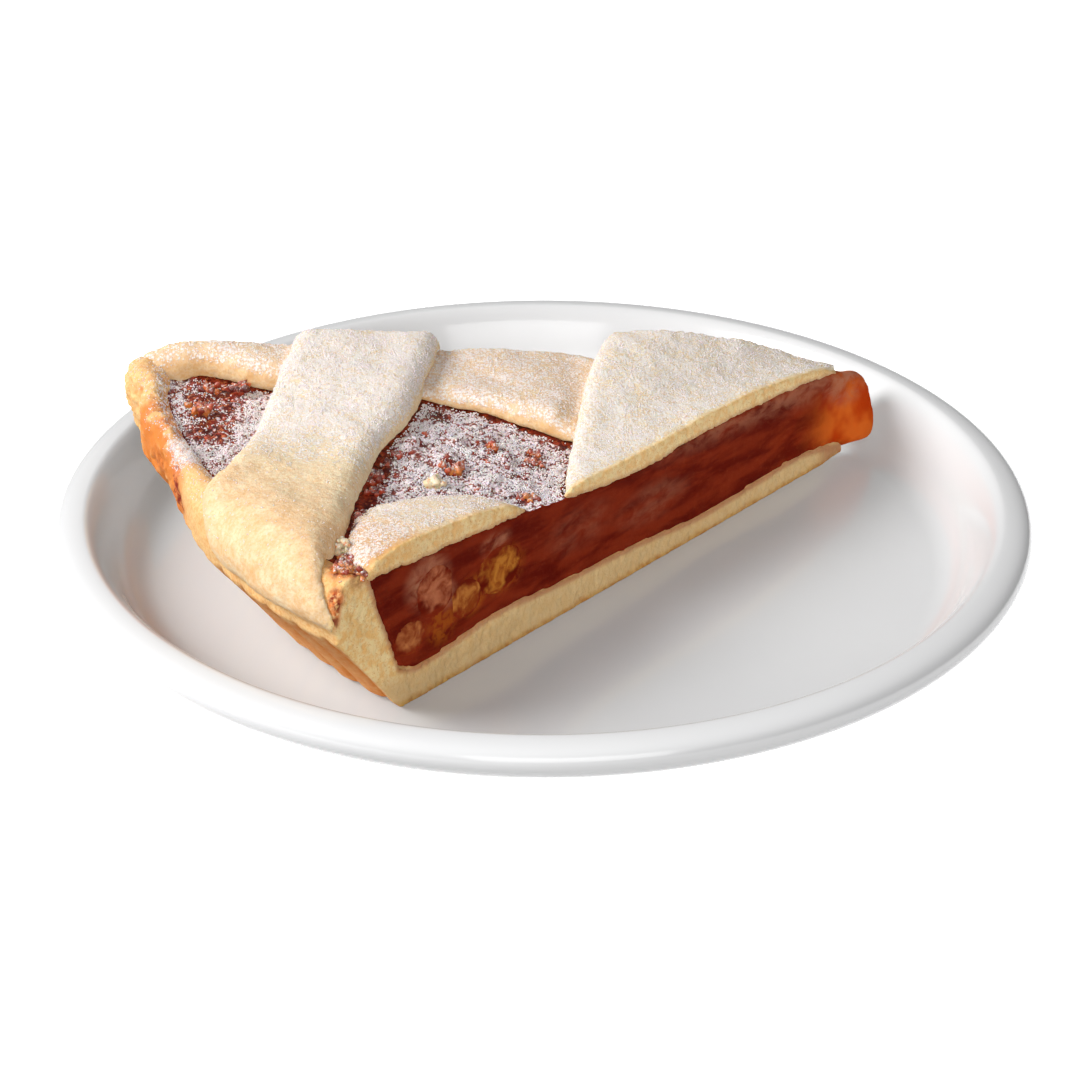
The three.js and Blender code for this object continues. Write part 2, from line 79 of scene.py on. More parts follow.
def ramp(x, low, high):
    """0 below `low`, 1 above `high`, smooth between."""
    t = np.clip((x - low) / (high - low), 0, 1)
    return t * t * (3 - 2 * t)


def coordinates(mesh):
    flat = np.empty(len(mesh.vertices) * 3)
    mesh.vertices.foreach_get("co", flat)
    return flat.reshape(-1, 3)


def normals(mesh):
    flat = np.empty(len(mesh.vertices) * 3)
    mesh.vertex_normals.foreach_get("vector", flat)
    return flat.reshape(-1, 3)


def set_coordinates(mesh, points):
    mesh.vertices.foreach_set("co", points.astype(np.float32).ravel())
    mesh.update()


def for_each(points, function):
    """The function's value at each of the points."""
    return np.fromiter((function(Vector(p)) for p in points), dtype=float, count=len(points))


def rough(points, size, seed, octaves=3, gain=0.5):
    """Fractal noise of about -1 to 1 with bumps of `size` millimetres, at points in metres."""
    offset = Vector((seed * 17.3, seed * 5.1, seed * 11.7))
    total = np.zeros(len(points))
    weight = 1.0
    for octave in range(octaves):
        scale = 1 / (size * MM) * 2 ** octave
        total += weight * for_each(points, lambda p: noise.noise(p * scale + offset))
        weight *= gain
    return total


def pits(points, size, seed):
    """0 at the middle of scattered cells of `size` millimetres and about 1 between them."""
    scale = 1 / (size * MM)
    offset = Vector((seed * 13.1, seed * 7.7, seed * 3.3))
    return for_each(points, lambda p: noise.voronoi(p * scale + offset)[0][0])


def paint(mesh, name, values):
    """A value from 0 to 1 for each vertex, which the material reads."""
    layer = mesh.attributes.new(name, "FLOAT", "POINT")
    layer.data.foreach_set("value", np.clip(values, 0, 1).astype(np.float32))


def new_object(name, data):
    obj = bpy.data.objects.new(name, data)
    scene.collection.objects.link(obj)
    return obj


def finished(obj, material, slot, *nodes):
    """Common end of every piece: smooth shading, its material, its place in the frame."""
    obj.data.polygons.foreach_set("use_smooth", [True] * len(obj.data.polygons))
    obj.data.materials.clear()
    obj.data.materials.append(material)
    obj.visible_diffuse = slot not in NO_BOUNCE
    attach(obj, "root")
    if nodes:
        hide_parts(*nodes)
    return obj


def fine_copy(node, name, voxel):
    """The node's solid as an even, fine mesh. `voxel` is its cell in millimetres."""
    obj = new_object(name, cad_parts[node].data.copy())
    remesh = obj.modifiers.new("cells", "REMESH")
    remesh.mode = "VOXEL"
    remesh.voxel_size = voxel * MM
    bpy.context.view_layer.update()
    mesh = bpy.data.meshes.new_from_object(obj.evaluated_get(bpy.context.evaluated_depsgraph_get()))
    obj.modifiers.clear()
    obj.data = mesh
    mesh.name = name
    return obj


def soften(mesh, rounds, share=0.5):
    """Evens out the mesh. In each round each vertex moves by `share`, which is one number or one for
    each vertex, towards the mean of its neighbours."""
    edges = np.empty(len(mesh.edges) * 2, dtype=np.int64)
    mesh.edges.foreach_get("vertices", edges)
    a, b = edges.reshape(-1, 2).T
    ends, others = np.concatenate([a, b]), np.concatenate([b, a])
    points = coordinates(mesh)
    count = np.bincount(ends, minlength=len(points))
    for _ in range(rounds):
        for axis in range(3):
            mean = np.bincount(ends, weights=points[others, axis], minlength=len(points)) / count
            points[:, axis] += share * (mean - points[:, axis])
    set_coordinates(mesh, points)


def touching(points, nodes, reach=1.0):
    """1 where a surface meets one of the nodes' solids, fading to 0 at `reach` millimetres from it."""
    corners, faces = [], []
    for node in nodes:
        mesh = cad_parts[node].data
        start = len(corners)
        corners += [v.co for v in mesh.vertices]
        faces += [[start + i for i in face.vertices] for face in mesh.polygons]
    tree = BVHTree.FromPolygons(corners, faces)
    away = [tree.find_nearest(Vector(p), reach * MM)[3] for p in points]
    away = np.array([reach if d is None else d / MM for d in away])
    return 1 - ramp(away, 0.4 * reach, reach)


# ---------- Material tools ----------

def srgb(red, green, blue):
    """A colour in 0..255 screen values as the linear colour that shaders take."""
    def linear(c):
        c /= 255
        return c / 12.92 if c <= 0.04045 else ((c + 0.055) / 1.055) ** 2.4
    return (linear(red), linear(green), linear(blue), 1)


class Shader:
    """A short way to write a material's nodes."""

    def __init__(self, name, **sockets):
        self.material = bpy.data.materials.new(name)
        self.material.use_nodes = True
        self.tree = self.material.node_tree
        self.surface = self.tree.nodes["Principled BSDF"]
        for socket, value in sockets.items():
            self.surface.inputs[socket.replace("_", " ")].default_value = value
        self.place = self.add("ShaderNodeTexCoord").outputs["Object"]

    def add(self, kind, **settings):
        node = self.tree.nodes.new(kind)
        for key, value in settings.items():
            setattr(node, key, value)
        return node

    def link(self, value, socket):
        if isinstance(value, bpy.types.NodeSocket):
            self.tree.links.new(value, socket)
        else:
            socket.default_value = value

    def set(self, **sockets):
        for socket, value in sockets.items():
            self.link(value, self.surface.inputs[socket.replace("_", " ")])
        return self.material

    def painted(self, name):
        return self.add("ShaderNodeAttribute", attribute_name=name).outputs["Fac"]

    def math(self, operation, a, b=0.0, c=0.0):
        node = self.add("ShaderNodeMath", operation=operation)
        for value, socket in zip((a, b, c), node.inputs):
            self.link(value, socket)
        return node.outputs[0]

    def times(self, a, b):
        return self.math("MULTIPLY", a, b)

    def steps(self, value, low, high):
        """0 below `low`, 1 above `high`, smooth between."""
        node = self.add("ShaderNodeMapRange", interpolation_type="SMOOTHSTEP")
        self.link(value, node.inputs["Value"])
        self.link(low, node.inputs["From Min"])
        self.link(high, node.inputs["From Max"])
        return node.outputs["Result"]

    def mix(self, share, a, b):
        node = self.add("ShaderNodeMix", data_type="RGBA")
        self.link(share, node.inputs["Factor"])
        self.link(a, node.inputs[6])
        self.link(b, node.inputs[7])
        return node.outputs[2]

    def bump(self, height, distance, below=None):
        node = self.add("ShaderNodeBump")
        node.inputs["Strength"].default_value = 1.0
        node.inputs["Distance"].default_value = distance * MM
        self.link(height, node.inputs["Height"])
        if below is not None:
            self.link(below, node.inputs["Normal"])
        return node.outputs["Normal"]

    def along_cut(self, stretch):
        """Coordinates drawn out along the near cut face, so that textures become streaks there."""
        node = self.add("ShaderNodeMapping", vector_type="TEXTURE")
        node.inputs["Rotation"].default_value = (0, 0, SLICE_TURN)
        node.inputs["Scale"].default_value = (stretch, 1, 1)
        self.link(self.place, node.inputs["Vector"])
        return node.outputs["Vector"]

    def noise(self, size, detail=3, roughness=0.55, distortion=0.0, place=None):
        """Noise with features of `size` millimetres."""
        node = self.add("ShaderNodeTexNoise")
        node.inputs["Scale"].default_value = 1 / (size * MM)
        node.inputs["Detail"].default_value = detail
        node.inputs["Roughness"].default_value = roughness
        node.inputs["Distortion"].default_value = distortion
        self.link(place or self.place, node.inputs["Vector"])
        return node.outputs["Fac"]

    def patches(self, low, high, *character):
        """Noise as patches: 0 where it is below `low`, 1 above `high`. The rest is what noise takes."""
        return self.steps(self.noise(*character), low, high)

    def granules(self, size, share):
        """Soft dots: one in each of a `share` of the cells, which are `size` millimetres wide."""
        node = self.add("ShaderNodeTexVoronoi")
        node.inputs["Scale"].default_value = 1 / (size * MM)
        self.link(self.place, node.inputs["Vector"])
        chance = self.add("ShaderNodeSeparateColor")
        self.link(node.outputs["Color"], chance.inputs["Color"])
        filled = self.steps(chance.outputs["Red"], share, self.math("ADD", share, -0.15))
        return self.times(filled, self.steps(node.outputs["Distance"], 0.85, 0.35))

    def dusting(self, patch, grain, contrast=3.0, haze=1.0):
        """How white the dusted sugar is, 0 to 1, where `sugar` is painted.

        It lies in patches of `patch` millimetres and in specks of about `grain` millimetres, with a
        `haze` of finer powder between them.
        """
        uneven = self.math("MULTIPLY_ADD", self.noise(patch, 3, 0.6), contrast, 1 - 0.5 * contrast)
        share = self.times(self.painted("sugar"), uneven)
        coarse = self.granules(grain, share)
        fine = self.granules(0.6 * grain, share)
        powder = self.times(self.times(share, haze), self.patches(0.3, 0.7, 0.5 * grain, 3, 0.7))
        return self.math("MAXIMUM", self.math("MAXIMUM", coarse, fine), powder)

    def jelly(self):
        """The streaks in set raspberry jelly, and its colour. Fruit in the jelly fades into the same."""
        streak = self.noise(3.2, 3, 0.55, 0.4, self.along_cut(4))
        fibre = self.patches(0.5, 0.8, 0.8, 4, 0.65, 0.3, self.along_cut(2))
        colour = self.mix(self.steps(streak, 0.34, 0.66), srgb(100, 22, 12), srgb(134, 44, 22))
        return streak, self.mix(self.times(fibre, 0.2), colour, srgb(166, 78, 46))


# ---------- Materials ----------

def porcelain_material():
    shader = Shader("white_porcelain", Roughness=0.18, Coat_Weight=0.5, Coat_Roughness=0.06)
    colour = shader.mix(shader.noise(38, 2), srgb(229, 229, 230), srgb(236, 236, 236))
    wave = shader.bump(shader.noise(30, 2), 0.06)
    return shader.set(Base_Color=colour, Normal=shader.bump(shader.noise(3, 2), 0.006, wave))


def pastry_material(name, pale, peach, brown):
    """Baked shortcrust, browner where `bake` is painted, which includes painted shade, and white where
    `sugar` is.

    Where `cut` is painted it shows its sandy inside, which is greyer at the `foot`, browned at the
    `base_edge` and red with the filling's `juice`. `jam` is a stain on top of all.
    """
    shader = Shader(name, Roughness=0.85, Specular_IOR_Level=0.25, Subsurface_Weight=0.15,
                    Subsurface_Scale=0.003, Subsurface_Radius=(1.0, 0.6, 0.3))
    colour = shader.mix(shader.patches(0.4, 0.66, 0.7, 3, 0.7), pale, peach)
    baked = shader.math("SUBTRACT", shader.painted("bake"), 0.5)
    browned = shader.math("ADD", shader.noise(3.5, 4, 0.65), baked)
    colour = shader.mix(shader.steps(browned, 0.0, 1.0), colour, brown)

    sand = shader.patches(0.36, 0.62, 1.8, 4, 0.65)
    inside = shader.mix(sand, srgb(246, 194, 120), srgb(255, 224, 164))
    inside = shader.mix(shader.patches(0.32, 0.42, 0.4, 2), srgb(232, 180, 114), inside)
    inside = shader.mix(shader.times(shader.painted("foot"), 0.8), inside, srgb(222, 186, 132))
    edge = shader.mix(shader.patches(0.4, 0.6, 1.2, 3), srgb(196, 132, 62), srgb(214, 164, 88))
    inside = shader.mix(shader.painted("base_edge"), inside, edge)
    inside = shader.mix(shader.times(shader.painted("juice"), 0.6), inside, srgb(168, 78, 50))
    colour = shader.mix(shader.painted("cut"), colour, inside)

    jam = shader.mix(shader.patches(0.38, 0.6, 1.8, 3), srgb(130, 32, 16), srgb(226, 124, 58))
    stained = shader.times(shader.painted("jam"), shader.patches(0.3, 0.5, 1.6, 4, 0.65))
    colour = shader.mix(stained, colour, jam)
    white = shader.dusting(3.5, 0.6)
    colour = shader.mix(shader.times(white, 0.85), colour, srgb(250, 243, 240))
    grain = shader.bump(shader.noise(0.6, 3, 0.7), 0.2)
    return shader.set(Base_Color=colour, Normal=shader.bump(white, 0.1, grain))


def jelly_material():
    """Set raspberry jelly, with painted glow at the `tip` and patches of `amber` and of `haze`, partly
    painted highlights.

    On its `top` it is fruit pulp with painted orange highlights where `bright` is painted, white with
    `sugar`.
    It has no plain reflection, only a wet coat that is strongest on the bare pulp.
    """
    shader = Shader("fruit_filling", Specular_IOR_Level=0.0, Coat_Roughness=0.25, Roughness=0.5,
                    Subsurface_Weight=0.2, Subsurface_Scale=0.003, Subsurface_Radius=(1.0, 0.2, 0.06))
    streak, colour = shader.jelly()
    # Painted light: the orange glow of light shining through the thin jelly at the tip, as colour.
    clear = shader.mix(shader.patches(0.35, 0.65, 6, 2), srgb(192, 62, 12), srgb(220, 102, 34))
    streaky = shader.math("SUBTRACT", streak, 0.5)
    glow = shader.math("MULTIPLY_ADD", streaky, 0.25, shader.painted("tip"))
    colour = shader.mix(shader.steps(glow, 0.0, 0.9), colour, clear)
    # Where `haze` is painted: partly cloudy jelly, partly painted highlights.
    cloud_and_highlight = shader.patches(0.3, 0.65, 3, 4, 0.6, 0.5, shader.along_cut(1.7))
    colour = shader.mix(shader.times(shader.painted("haze"), cloud_and_highlight), colour, srgb(190, 122, 92))
    amber = shader.times(shader.painted("amber"), shader.patches(0.36, 0.6, 1.6, 4, 0.6, 0.5))
    colour = shader.mix(amber, colour, srgb(172, 88, 28))

    pulp = shader.mix(shader.patches(0.4, 0.62, 1.4, 4, 0.65), srgb(76, 20, 16), srgb(146, 50, 28))
    # Painted highlights: orange glints on the bare pulp.
    glint = shader.times(shader.patches(0.54, 0.68, 0.8, 3), shader.painted("bright"))
    pulp = shader.mix(glint, pulp, srgb(210, 118, 66))
    top = shader.painted("top")
    colour = shader.mix(top, colour, pulp)
    white = shader.dusting(2.2, 0.8, 4.5, 0.4)
    # The sugar's pale pink is painted light: red light bounced from the filling.
    colour = shader.mix(shader.times(white, 0.94), colour, srgb(254, 238, 240))
    wet = shader.times(shader.math("SUBTRACT", 1.0, white), shader.math("MULTIPLY_ADD", top, 0.35, 0.03))
    grain = shader.bump(shader.noise(0.9, 4, 0.6), 0.1)
    return shader.set(Base_Color=colour, Coat_Weight=wet, Normal=shader.bump(white, 0.15, grain))


def apple_material():
    """Apple cooked soft in the jelly: yellow, rosy where `pink` is painted, jelly red at its `edge`."""
    shader = Shader("cooked_apple", Roughness=0.5, Specular_IOR_Level=0.0, Subsurface_Weight=0.2,
                    Subsurface_Scale=0.003, Subsurface_Radius=(1.0, 0.5, 0.15))
    flesh = (3, 4, 0.6, 0.6)
    yellow = shader.mix(shader.patches(0.35, 0.6, *flesh), srgb(148, 68, 22), srgb(198, 124, 44))
    rosy = shader.mix(shader.patches(0.3, 0.65, *flesh), srgb(132, 52, 28), srgb(192, 112, 82))
    colour = shader.mix(shader.painted("pink"), yellow, rosy)
    _, red = shader.jelly()
    colour = shader.mix(shader.painted("edge"), colour, red)
    return shader.set(Base_Color=colour, Normal=shader.bump(shader.noise(0.9, 4, 0.6), 0.1))


def crumb_material():
    """Crumbs and fruit bits: as `tone` grows, from dark raspberry over red and amber to pale."""
    shader = Shader("baked_crumbs", Roughness=0.35, Subsurface_Weight=0.2, Subsurface_Scale=0.002,
                    Subsurface_Radius=(1.0, 0.35, 0.15))
    darkest = shader.math("SUBTRACT", shader.painted("tone"), 0.2)
    tone = shader.math("MULTIPLY_ADD", shader.noise(1.1, 3), 0.4, darkest)
    colour = shader.mix(shader.steps(tone, 0.1, 0.5), srgb(90, 18, 12), srgb(178, 60, 24))
    colour = shader.mix(shader.steps(tone, 0.45, 0.85), colour, srgb(218, 126, 56))
    colour = shader.mix(shader.steps(tone, 0.93, 1.0), colour, srgb(226, 206, 166))
    white = shader.dusting(1.2, 0.45)
    colour = shader.mix(shader.times(white, 0.9), colour, srgb(240, 230, 228))
    return shader.set(Base_Color=colour, Normal=shader.bump(shader.noise(0.7, 3), 0.12))


def sugar_material():
    shader = Shader("powdered_sugar", Roughness=0.75, Subsurface_Weight=0.2, Subsurface_Scale=0.001)
    # The pale pink is painted light: red light bounced from the filling.
    colour = shader.mix(shader.noise(1.5, 2), srgb(246, 230, 232), srgb(252, 241, 240))
    return shader.set(Base_Color=colour, Normal=shader.bump(shader.noise(0.3, 2), 0.05))


# ---------- Plate ----------

PLATE_SIDES = 240
# Radius and height in mm, from the middle of the floor to where the wall starts.
PLATE_FLOOR = [(0, 5), (20, 5), (40, 5), (60, 5), (76.5, 5)]
# The rest of the profile: for each stretch its control point, its end and its number of steps.
# Straight stretches have no control point.
PLATE_STRETCHES = [
    ((81.6, 5), (83.8, 10), 14),        # wall, inside
    ((87.4, 18.4), (89.8, 18.4), 12),
    ((95, 18.4), (95, 15.6), 12),       # curled rim
    ((95, 12.9), (91.4, 11.4), 8),
    ((88, 9.8), (85.4, 7.4), 6),        # wall, outside
    ((79.6, 2), (72, 1.5), 10),
    (None, (57.2, 1.5), 1),             # underside up to the foot ring
    ((56, 1.3), (55.6, 0.3), 3),
    ((55.4, 0), (55, 0), 2),
    (None, (52.4, 0), 1),               # the plate stands on this
    ((51.9, 0), (51.7, 0.3), 2),
    ((51.3, 1.4), (50.2, 1.5), 3),
    (None, (25, 1.5), 1),               # underside within the ring
    (None, (0, 1.5), 1),
]


def curve(start, control, end, count):
    """Points of a quadratic curve, without its start."""
    return [tuple((1 - t) ** 2 * a + 2 * t * (1 - t) * b + t * t * c
                  for a, b, c in zip(start, control, end))
            for t in np.linspace(0, 1, count + 1)[1:]]


def plate_piece(material):
    profile = list(PLATE_FLOOR)
    for control, end, count in PLATE_STRETCHES:
        profile += curve(profile[-1], control, end, count) if control else [end]
    turns = np.linspace(0, 2 * math.pi, PLATE_SIDES, endpoint=False)
    vertices = [(0, 0, profile[0][1] * MM)]
    for radius, height in profile[1:-1]:
        vertices += [(radius * MM * math.cos(t), radius * MM * math.sin(t), height * MM) for t in turns]
    vertices.append((0, 0, profile[-1][1] * MM))
    rings = len(profile) - 2
    last = len(vertices) - 1
    faces = []
    for i in range(PLATE_SIDES):
        j = (i + 1) % PLATE_SIDES
        faces.append((0, 1 + i, 1 + j))
        for ring in range(rings - 1):
            inner = 1 + ring * PLATE_SIDES
            outer = inner + PLATE_SIDES
            faces.append((inner + i, outer + i, outer + j, inner + j))
        inner = 1 + (rings - 1) * PLATE_SIDES
        faces.append((inner + i, last, inner + j))
    mesh = bpy.data.meshes.new("plate_porcelain")
    mesh.from_pydata(vertices, [], faces)
    mesh.update()
    return finished(new_object("plate_porcelain", mesh), material, "porcelain", "plate")


# ---------- Pie ----------

STRIPS = ["lattice_strip_rim", "lattice_strip_back", "lattice_strip_tip", "lattice_strip_end"]
ROSINESS = {"apple_piece_1": 0.1, "apple_piece_2": 0.3, "apple_piece_3": 0.9, "apple_piece_4": 0.6}

FLUTE_PITCH = 3         # degrees between the flutes of the rim's outer wall
WALL_FOOT = 136.4       # radius of the outer wall at its foot, mm
WALL_SLOPE = 0.76       # how much wider it is for each millimetre of height
JOINT_GROWTH = 0.9      # mm, at the far corner

# Direction across the strip that lies beside the rim. The second direction runs along it.
ACROSS_STRIP = (0.554, 0.833)

# Places in slice coordinates, each with its strength, u, v, h, reach and, where it isn't round, squash.
JAM_STAINS = [(1.2, 137.4, 56.4, 23.6, 4.6), (1.2, 137, 57, 27, 3.2), (0.5, 129.7, 70.8, 23, 4),
              (1, 150.6, 0.8, 28.4, 2.2, 0.7), (0.9, 151.6, 0.2, 25.6, 1.8, 0.5),
              (1.2, 145.4, 3, 31, 4.6)]
# Patches on the near cut face: partly the jelly's own cloudiness, partly painted highlights.
HAZE_AND_HIGHLIGHTS = [(0.9, 111.4, 0, 23.3, 5, 1.7), (0.8, 129, 0, 23, 7), (0.6, 124.8, 0, 18, 4),
        (0.25, 66, 0, 14, 14, 2.5), (0.2, 88, 0, 17, 12, 2), (0.45, 3, -1, 16, 8, 1.5)]
AMBER = [(1, 118, 0, 15.2, 5), (0.7, 125.8, 0, 12.6, 5), (0.6, 109.9, 0, 17, 8, 1.3)]
CORNER_SUGAR = [(0.7, 133.7, 59.2, 30.7, 7)]
CORNER_JOINT = [(1, 112, 89, 31, 9)]

# Places on the bare filling where fruit shows through the sugar: u, v and radius.
FRUIT_SHOWS = [(99.9, 21.4, 3.2), (86.5, 23.9, 4), (83.8, 15.3, 3.4), (80.3, 18.4, 2.8), (96.5, 5.2, 3.4),
               (91, 13, 2.4), (84.7, 39.5, 4), (72.6, 19.4, 3), (110, 80, 7), (112, 74, 7), (117, 70, 6.5),
               (122, 64, 6), (107, 79, 5)]


def cut_share(s, depth=0.9):
    """1 on the two faces that the knife made, fading to 0 at `depth` millimetres from them."""
    u, v, _ = s.T
    from_far_cut = u * math.sin(SLICE_ANGLE) - v * math.cos(SLICE_ANGLE)
    return np.maximum(1 - ramp(np.abs(v), 0.3, depth), 1 - ramp(np.abs(from_far_cut), 0.3, depth))


def spots(s, places):
    """The strengths of the places, each fading to 0 at its reach in millimetres, added up."""
    total = np.zeros(len(s))
    for strength, u, v, h, reach, *squash in places:
        flat = squash[0] if squash else 1.0
        away = np.sqrt((s[:, 0] - u) ** 2 + (s[:, 1] - v) ** 2 + ((s[:, 2] - h) * flat) ** 2)
        total += strength * (1 - ramp(away, 0.4 * reach, reach))
    return total


def corner_joint(s):
    """1 at the far corner, where the rim and the end of the strip behind it were baked together."""
    return spots(s, CORNER_JOINT)


def move_out(mesh, points, move):
    """Moves each vertex along its normal, in millimetres."""
    set_coordinates(mesh, points + normals(mesh) * move[:, None] * MM)


def crust_piece(material):
    obj = fine_copy("crust", "crust_baked", voxel=0.5)
    mesh = obj.data
    s = to_slice(coordinates(mesh))
    u, _, h = s.T
    soften(mesh, 8, 0.5 * ramp(h, 22, 25) * (1 - cut_share(s, 2)))
    soften(mesh, 12, 0.5 * (1 - ramp(u, 5, 9)))
    soften(mesh, 2)

    points = coordinates(mesh)
    s = to_slice(points)
    u, v, h = s.T
    upward = normals(mesh)[:, 2]
    radius = np.hypot(u, v)
    angle = np.degrees(np.arctan2(v, u))
    cut = cut_share(s)
    outer = ramp(radius, 137, 142) * (1 - cut)
    wall = ramp(radius - WALL_FOOT - WALL_SLOPE * h, -6, -3.5) * (1 - ramp(h, 17, 20.5)) * (1 - cut)
    groove = (1 - np.abs(np.cos(np.pi * angle / FLUTE_PITCH))) ** 4 * wall
    crags = rough(points, 2.6, 3, 4, 0.65) * ramp(angle, 20, 24) * outer * ramp(h, 17, 20)
    crumb = rough(points, 1.2, 1) * 0.14 + rough(points, 6, 2, 2) * 0.25 + 0.55 * crags
    holes = 0.3 * (1 - ramp(pits(points, 1.5, 4), 0.18, 0.42)) * np.maximum(cut, 0.2)
    move = (crumb * (1 - 0.7 * wall) - holes * (1 - wall)) * ramp(h, 0, 0.8) - 1.1 * groove
    move += JOINT_GROWTH * corner_joint(s) + 0.25 * touching(points, ["filling"] + STRIPS)
    move_out(mesh, points, move)

    scorched = ramp(angle, 19, 24) * (1 - ramp(angle, 32, 36)) * outer * (1 - 0.6 * ramp(h, 28.5, 31.5))
    # Painted shade: 0.9 * groove darkens the flute grooves as their shadows would. The crust is also paler
    # where the crags stand out and browner between them.
    bake = 0.15 + 0.45 * wall + 0.9 * groove + 0.35 * (1 - ramp(h, 0.2, 1.8)) - 0.5 * crags
    soaked_tip = 0.9 * (1 - ramp(u, 7, 13)) * ramp(h, 0, 1.5)
    dusted = 0.5 - 0.4 * ramp(radius, 143, 146) + spots(s, CORNER_SUGAR)
    inner_top = ramp(upward, 0.1, 0.7) * ramp(h, 26, 29) * ramp(angle, 6, 12)
    paint(mesh, "bake", bake + 0.85 * scorched)
    paint(mesh, "cut", cut)
    paint(mesh, "foot", 1 - ramp(u, 96, 132) * ramp(h, 4, 10))
    paint(mesh, "base_edge", 1 - ramp(h + 0.5 * rough(points, 3, 11, 2), 0.3, 1.9))
    paint(mesh, "juice", touching(points, ["filling"], 1.6) + soaked_tip)
    paint(mesh, "jam", spots(s, JAM_STAINS))
    paint(mesh, "sugar", dusted * inner_top)
    return finished(obj, material, "crust", "crust")


def across_and_along(s):
    """Places in millimetres across and along the strip that lies beside the rim."""
    a, b = ACROSS_STRIP
    return a * s[:, 0] + b * s[:, 1], b * s[:, 0] - a * s[:, 1]


def sugar_lying(s):
    """How much sugar lies on the filling, 0 to 1: none in the wet gap beside the strip at the rim,
    less in the near corner beside the strip at the tip and where fruit shows."""
    across, along = across_and_along(s)
    gap = ramp(across, 82.5, 85.5) * (1 - ramp(across, 89, 92)) * ramp(along, 60, 70)
    corner = (1 - ramp(s[:, 0], 75, 79)) * (1 - ramp(s[:, 1], 17, 21))
    fruit = sum(1 - ramp(np.hypot(s[:, 0] - u, s[:, 1] - v), 0.3 * r, 1.2 * r) for u, v, r in FRUIT_SHOWS)
    return 1 - np.maximum(np.maximum(gap, 0.5 * corner), 0.8 * np.clip(fruit, 0, 1))


def filling_piece(material):
    obj = fine_copy("filling", "filling_jelly", voxel=0.55)
    mesh = obj.data
    u = to_slice(coordinates(mesh))[:, 0]
    soften(mesh, 24, 0.5 * (1 - ramp(u, 5, 10)))
    soften(mesh, 2)

    points = coordinates(mesh)
    s = to_slice(points)
    u, v, h = s.T
    level = ramp(normals(mesh)[:, 2], 0.35, 0.75)
    top = level * ramp(h, 15, 19) * (1 - cut_share(s, 0.8)) * ramp(np.hypot(u, v), 20, 60)
    lumps = 0.45 - ramp(pits(points, 1.8, 9), 0.1, 0.75)
    move = rough(points, 2.4, 5, 4, 0.65) * (0.06 + 0.45 * top) + (0.55 * lumps - 0.3) * top
    move += 0.2 * touching(points, ["crust"] + STRIPS + list(ROSINESS))
    move_out(mesh, points, move)

    near = 1 - ramp(v, 1, 4)
    body = ramp(h, 1, 4) * (1 - 0.6 * ramp(h, 12, 17))
    # Painted glow, as of light shining through the thin jelly: strongest at the tip, weaker at its bottom
    # and top.
    tip = (1 - ramp(u, -3, 19)) * (0.35 + 0.65 * body) + 0.2 * body * (1 - ramp(u, 12, 40))
    under_strip = ramp(h - 18.5 - 0.09 * u, -5, 0.5) * (1 - ramp(u, 55, 80))
    paint(mesh, "top", top)
    # Where the pulp gets painted orange highlights: some everywhere, most towards the back.
    paint(mesh, "bright", 0.3 + 0.7 * ramp(v, 50, 60))
    paint(mesh, "tip", tip)
    # Haze: partly cloudy jelly, partly painted highlights, and lighter jelly just under the strips.
    paint(mesh, "haze", (spots(s, HAZE_AND_HIGHLIGHTS) + 0.6 * under_strip) * near)
    paint(mesh, "amber", spots(s, AMBER) * near)
    paint(mesh, "sugar", 0.6 * top * sugar_lying(s) * (1 - touching(points, STRIPS, 0.9)))
    return finished(obj, material, "filling", "filling")


def strip_piece(node, material, sugar, bake):
    """A strip of the lattice. `sugar` and `bake` give what is painted, from slice coordinates."""
    obj = fine_copy(node, node + "_baked", voxel=0.45)
    mesh = obj.data
    s = to_slice(coordinates(mesh))
    soften(mesh, 16, 0.5 * (1 - cut_share(s, 1.8)) * (1 - corner_joint(s)))
    soften(mesh, 2)

    points = coordinates(mesh)
    s = to_slice(points)
    upward = normals(mesh)[:, 2]
    cut = cut_share(s)
    others = ["crust", "filling"] + [strip for strip in STRIPS if strip != node]
    crumb = rough(points, 1.1, 6) * 0.12 + rough(points, 7, 7, 2) * 0.3
    holes = 0.3 * (1 - ramp(pits(points, 1.5, 8), 0.14, 0.36)) * np.maximum(cut, 0.2)
    move = crumb - holes + JOINT_GROWTH * corner_joint(s) + 0.25 * touching(points, others)
    move_out(mesh, points, move)

    paint(mesh, "cut", cut * 0.85)
    paint(mesh, "juice", touching(points, ["filling"], 1.3) * 0.8)
    paint(mesh, "bake", bake(s))
    paint(mesh, "sugar", sugar(s) * ramp(upward, 0.05, 0.6))
    return finished(obj, material, "lattice", node)


def strip_pieces(material):
    """The strips in the order of STRIPS, each with its own sugar and browning."""
    rim, back, tip, end = STRIPS
    return [
        strip_piece(rim, material, lambda s: 0.9 - 0.83 * ramp(across_and_along(s)[1], 62, 90),
                    lambda s: 0.05 + 0.4 * ramp(s[:, 0], 116, 146)),
        strip_piece(back, material, lambda s: 0.55 - 0.2 * ramp(s[:, 0], 100, 112),
                    lambda s: 0.5 + 0.1 * ramp(s[:, 0], 100, 112)),
        strip_piece(tip, material, lambda s: 0.75 * ramp(s[:, 1], 0.4, 2.6),
                    lambda s: np.zeros(len(s))),
        strip_piece(end, material, lambda s: 0.55 * ramp(s[:, 1], 0.4, 3),
                    lambda s: 0.3 + 0.5 * ramp(s[:, 0], 124, 136)),
    ]


